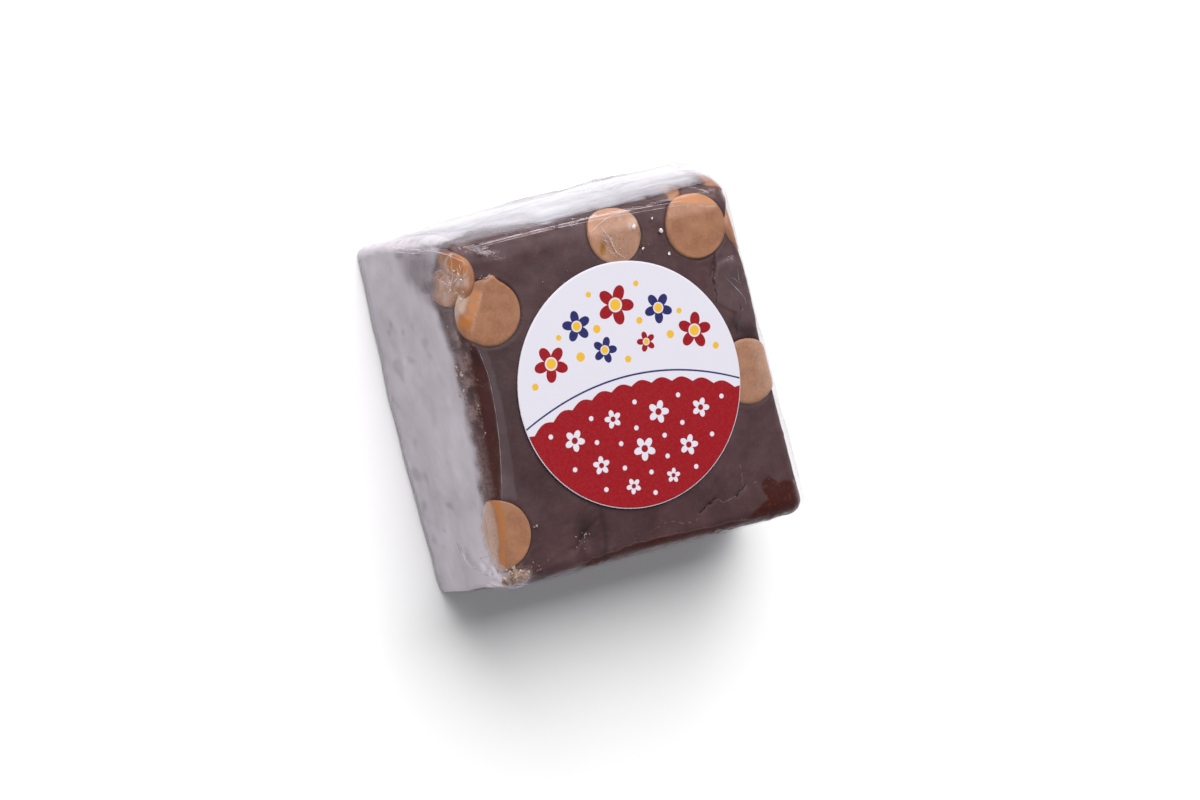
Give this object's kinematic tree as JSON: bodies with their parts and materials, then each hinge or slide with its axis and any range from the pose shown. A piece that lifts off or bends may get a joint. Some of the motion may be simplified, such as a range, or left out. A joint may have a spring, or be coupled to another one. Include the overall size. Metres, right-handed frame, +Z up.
{
  "type": "wrapped chocolate fudge square",
  "caption": "Square of chocolate fudge with peanut-butter drops pressed into its top, wrapped tight in clear film with a round paper sticker.",
  "frame": {"origin": "middle of the bounding box in X and Y, at the level of the flat base", "axes": "+Z up out of the face with the sticker, +X from left to right as the sticker is read, +Y towards the back end where the loose film fold is"},
  "size_m": [0.0634, 0.0664, 0.0264],
  "materials": {
    "fudge": "dense dark chocolate fudge, dull mauve brown where it is dry and glossy red-brown where it is moist under the film",
    "peanut_butter": "smooth satin tan confection with a more orange cut or bent edge",
    "sticker_paper": null,
    "clear_film": "thin clear food film, tight on the top face and hazy with fine pleats on the sides and folded ends"
  },
  "bodies": {
    "root": {"wrapped_fudge": "fudge", "drop_back_right": "peanut_butter", "drop_back_middle": "peanut_butter", "drop_left": "peanut_butter", "drop_right": "peanut_butter", "drop_front_left": "peanut_butter", "drop_back_left": "peanut_butter", "drop_right_side": "peanut_butter", "drop_back_corner": "peanut_butter", "drop_back_side": "peanut_butter", "sticker": "sticker_paper", "film_fold_back": "clear_film", "film_fold_front": "clear_film"}
  },
  "joints": []
}
